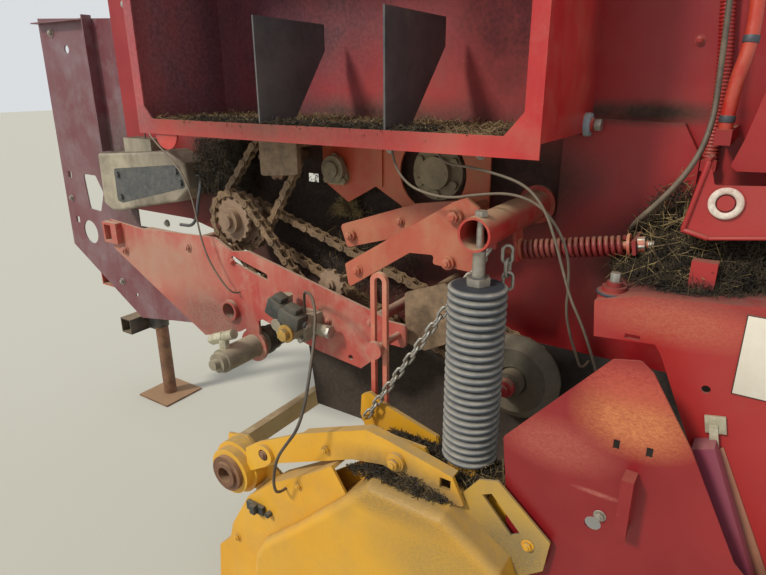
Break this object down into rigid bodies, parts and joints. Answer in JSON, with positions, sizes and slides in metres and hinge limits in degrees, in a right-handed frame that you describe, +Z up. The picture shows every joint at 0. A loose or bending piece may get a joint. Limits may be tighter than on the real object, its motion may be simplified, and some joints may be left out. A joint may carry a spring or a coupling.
{
  "type": "round baler front corner with pickup drive",
  "caption": "Front left corner of a red round baler: twine box, chain drive, gear case, lift tube with a pleated boot, tensioner arms and the yellow pickup's near end.",
  "frame": {"origin": "centre of the main beam's inboard end face, where the corner joins the rest of the baler", "axes": "+X to the rear of the baler, +Y inboard along the cross beams, +Z up"},
  "size_m": [2.521, 0.9504, 1.92],
  "materials": {
    "red_paint": "satin",
    "yellow_paint": "satin",
    "dark_steel": "rough",
    "black_paint": "satin",
    "dusty_casting": "rough",
    "zinc": "satin",
    "dusty_chain": "rough",
    "rusty_steel": "rough",
    "boot_rubber": "matte",
    "cream_paint": "satin",
    "dusty_link": "satin",
    "red_hose": "matte",
    "grey_cable": "matte",
    "black_cable": "matte"
  },
  "bodies": {
    "frame": {"side_wall": "red_paint", "low_wall": "red_paint", "cross_beams": "red_paint", "front_panel": "red_paint", "rear_frame": "red_paint", "door_post": "red_paint", "pivot_pin": "zinc", "ring_bracket": "red_paint", "twine_box": "red_paint", "twine_dividers": "dark_steel", "gear_case": "dusty_casting", "gear_cover": "black_paint", "driveline_housing": "red_paint", "upper_plate": "red_paint", "roll_bearings": "red_paint", "chain_cover": "dusty_casting", "lower_plate": "red_paint", "tensioner_arm": "red_paint", "rear_arm": "red_paint", "lift_tube": "red_paint", "spring": "red_paint", "spring_rod": "zinc", "boot_hanger": "zinc", "tan_plate": "dusty_casting", "cylinder": "dark_steel", "valve_block": "dark_steel", "cross_tube": "black_paint", "jack_sleeve": "black_paint", "upper_chain": "dusty_chain", "front_chain": "dusty_chain", "main_chain": "dusty_chain", "boot": "boot_rubber", "lift_chain": "zinc", "conduit": "red_hose", "red_hose": "red_hose", "grey_hose": "grey_cable", "lamp_wire": "grey_cable", "brake_wire": "grey_cable", "grey_wire": "grey_cable", "drain_pipe": "dark_steel", "sensor_cable": "black_cable"},
    "pickup": {"pickup_sides": "yellow_paint", "pickup_arm": "yellow_paint", "pickup_cover": "yellow_paint", "front_plate": "yellow_paint", "rear_plate": "yellow_paint", "front_hub": "rusty_steel", "front_bar": "cream_paint", "strippers": "yellow_paint"},
    "link": {"slotted_link": "dusty_link"},
    "reel": {"reel": "rusty_steel"},
    "drive": {"drive_wheels": "rusty_steel"},
    "upper_sprocket": {"upper_wheel": "rusty_steel"},
    "lower_sprocket": {"lower_wheel": "rusty_steel"},
    "idler": {"idler_wheel": "rusty_steel"},
    "disc": {"disc_wheel": "rusty_steel"},
    "side_door": {"door": "red_paint"},
    "jack": {"jack_leg": "rusty_steel"}
  },
  "joints": [
    {"name": "pickup_lift", "type": "hinge", "parent": "frame", "child": "pickup", "pos_m": [-0.13, 0, 0.04], "axis": [0, 1, 0], "range_deg": [0, 6], "deforming": ["boot", "lift_chain"]},
    {"name": "link_swing", "type": "hinge", "parent": "pickup", "child": "link", "pos_m": [-0.573, 0, 0.078], "axis": [0, 1, 0], "range_deg": [-9.5, 0]},
    {"name": "reel_spin", "type": "hinge", "parent": "pickup", "child": "reel", "pos_m": [-0.69, 0, -0.4], "axis": [0, 1, 0], "continuous": true},
    {"name": "drive_spin", "type": "hinge", "parent": "frame", "child": "drive", "pos_m": [-1.13, 0, 0.433], "axis": [0, 1, 0], "continuous": true},
    {"name": "upper_sprocket_spin", "type": "hinge", "parent": "frame", "child": "upper_sprocket", "pos_m": [-0.994, 0, 0.608], "axis": [0, 1, 0], "continuous": true},
    {"name": "lower_sprocket_spin", "type": "hinge", "parent": "frame", "child": "lower_sprocket", "pos_m": [-0.879, 0, 0.221], "axis": [0, 1, 0], "continuous": true},
    {"name": "disc_spin", "type": "hinge", "parent": "frame", "child": "disc", "pos_m": [-0.312, 0, 0.165], "axis": [0, 1, 0], "continuous": true},
    {"name": "idler_spin", "type": "hinge", "parent": "frame", "child": "idler", "pos_m": [-0.795, 0, 0.309], "axis": [0, 1, 0], "continuous": true},
    {"name": "door_swing", "type": "hinge", "parent": "frame", "child": "side_door", "pos_m": [0.205, -0.848, -0.04], "axis": [0, 0, 1], "range_deg": [0, 90]},
    {"name": "jack_slide", "type": "slide", "parent": "frame", "child": "jack", "axis": [0, 0, 1], "range_m": [0, 0.25]}
  ],
  "couplings": [
    {"joint": "link_swing", "follows": "pickup_lift", "ratio": -1.5505},
    {"joint": "upper_sprocket_spin", "follows": "drive_spin", "ratio": 1.1944},
    {"joint": "lower_sprocket_spin", "follows": "drive_spin", "ratio": 1.9737},
    {"joint": "disc_spin", "follows": "drive_spin", "ratio": 0.6}
  ]
}
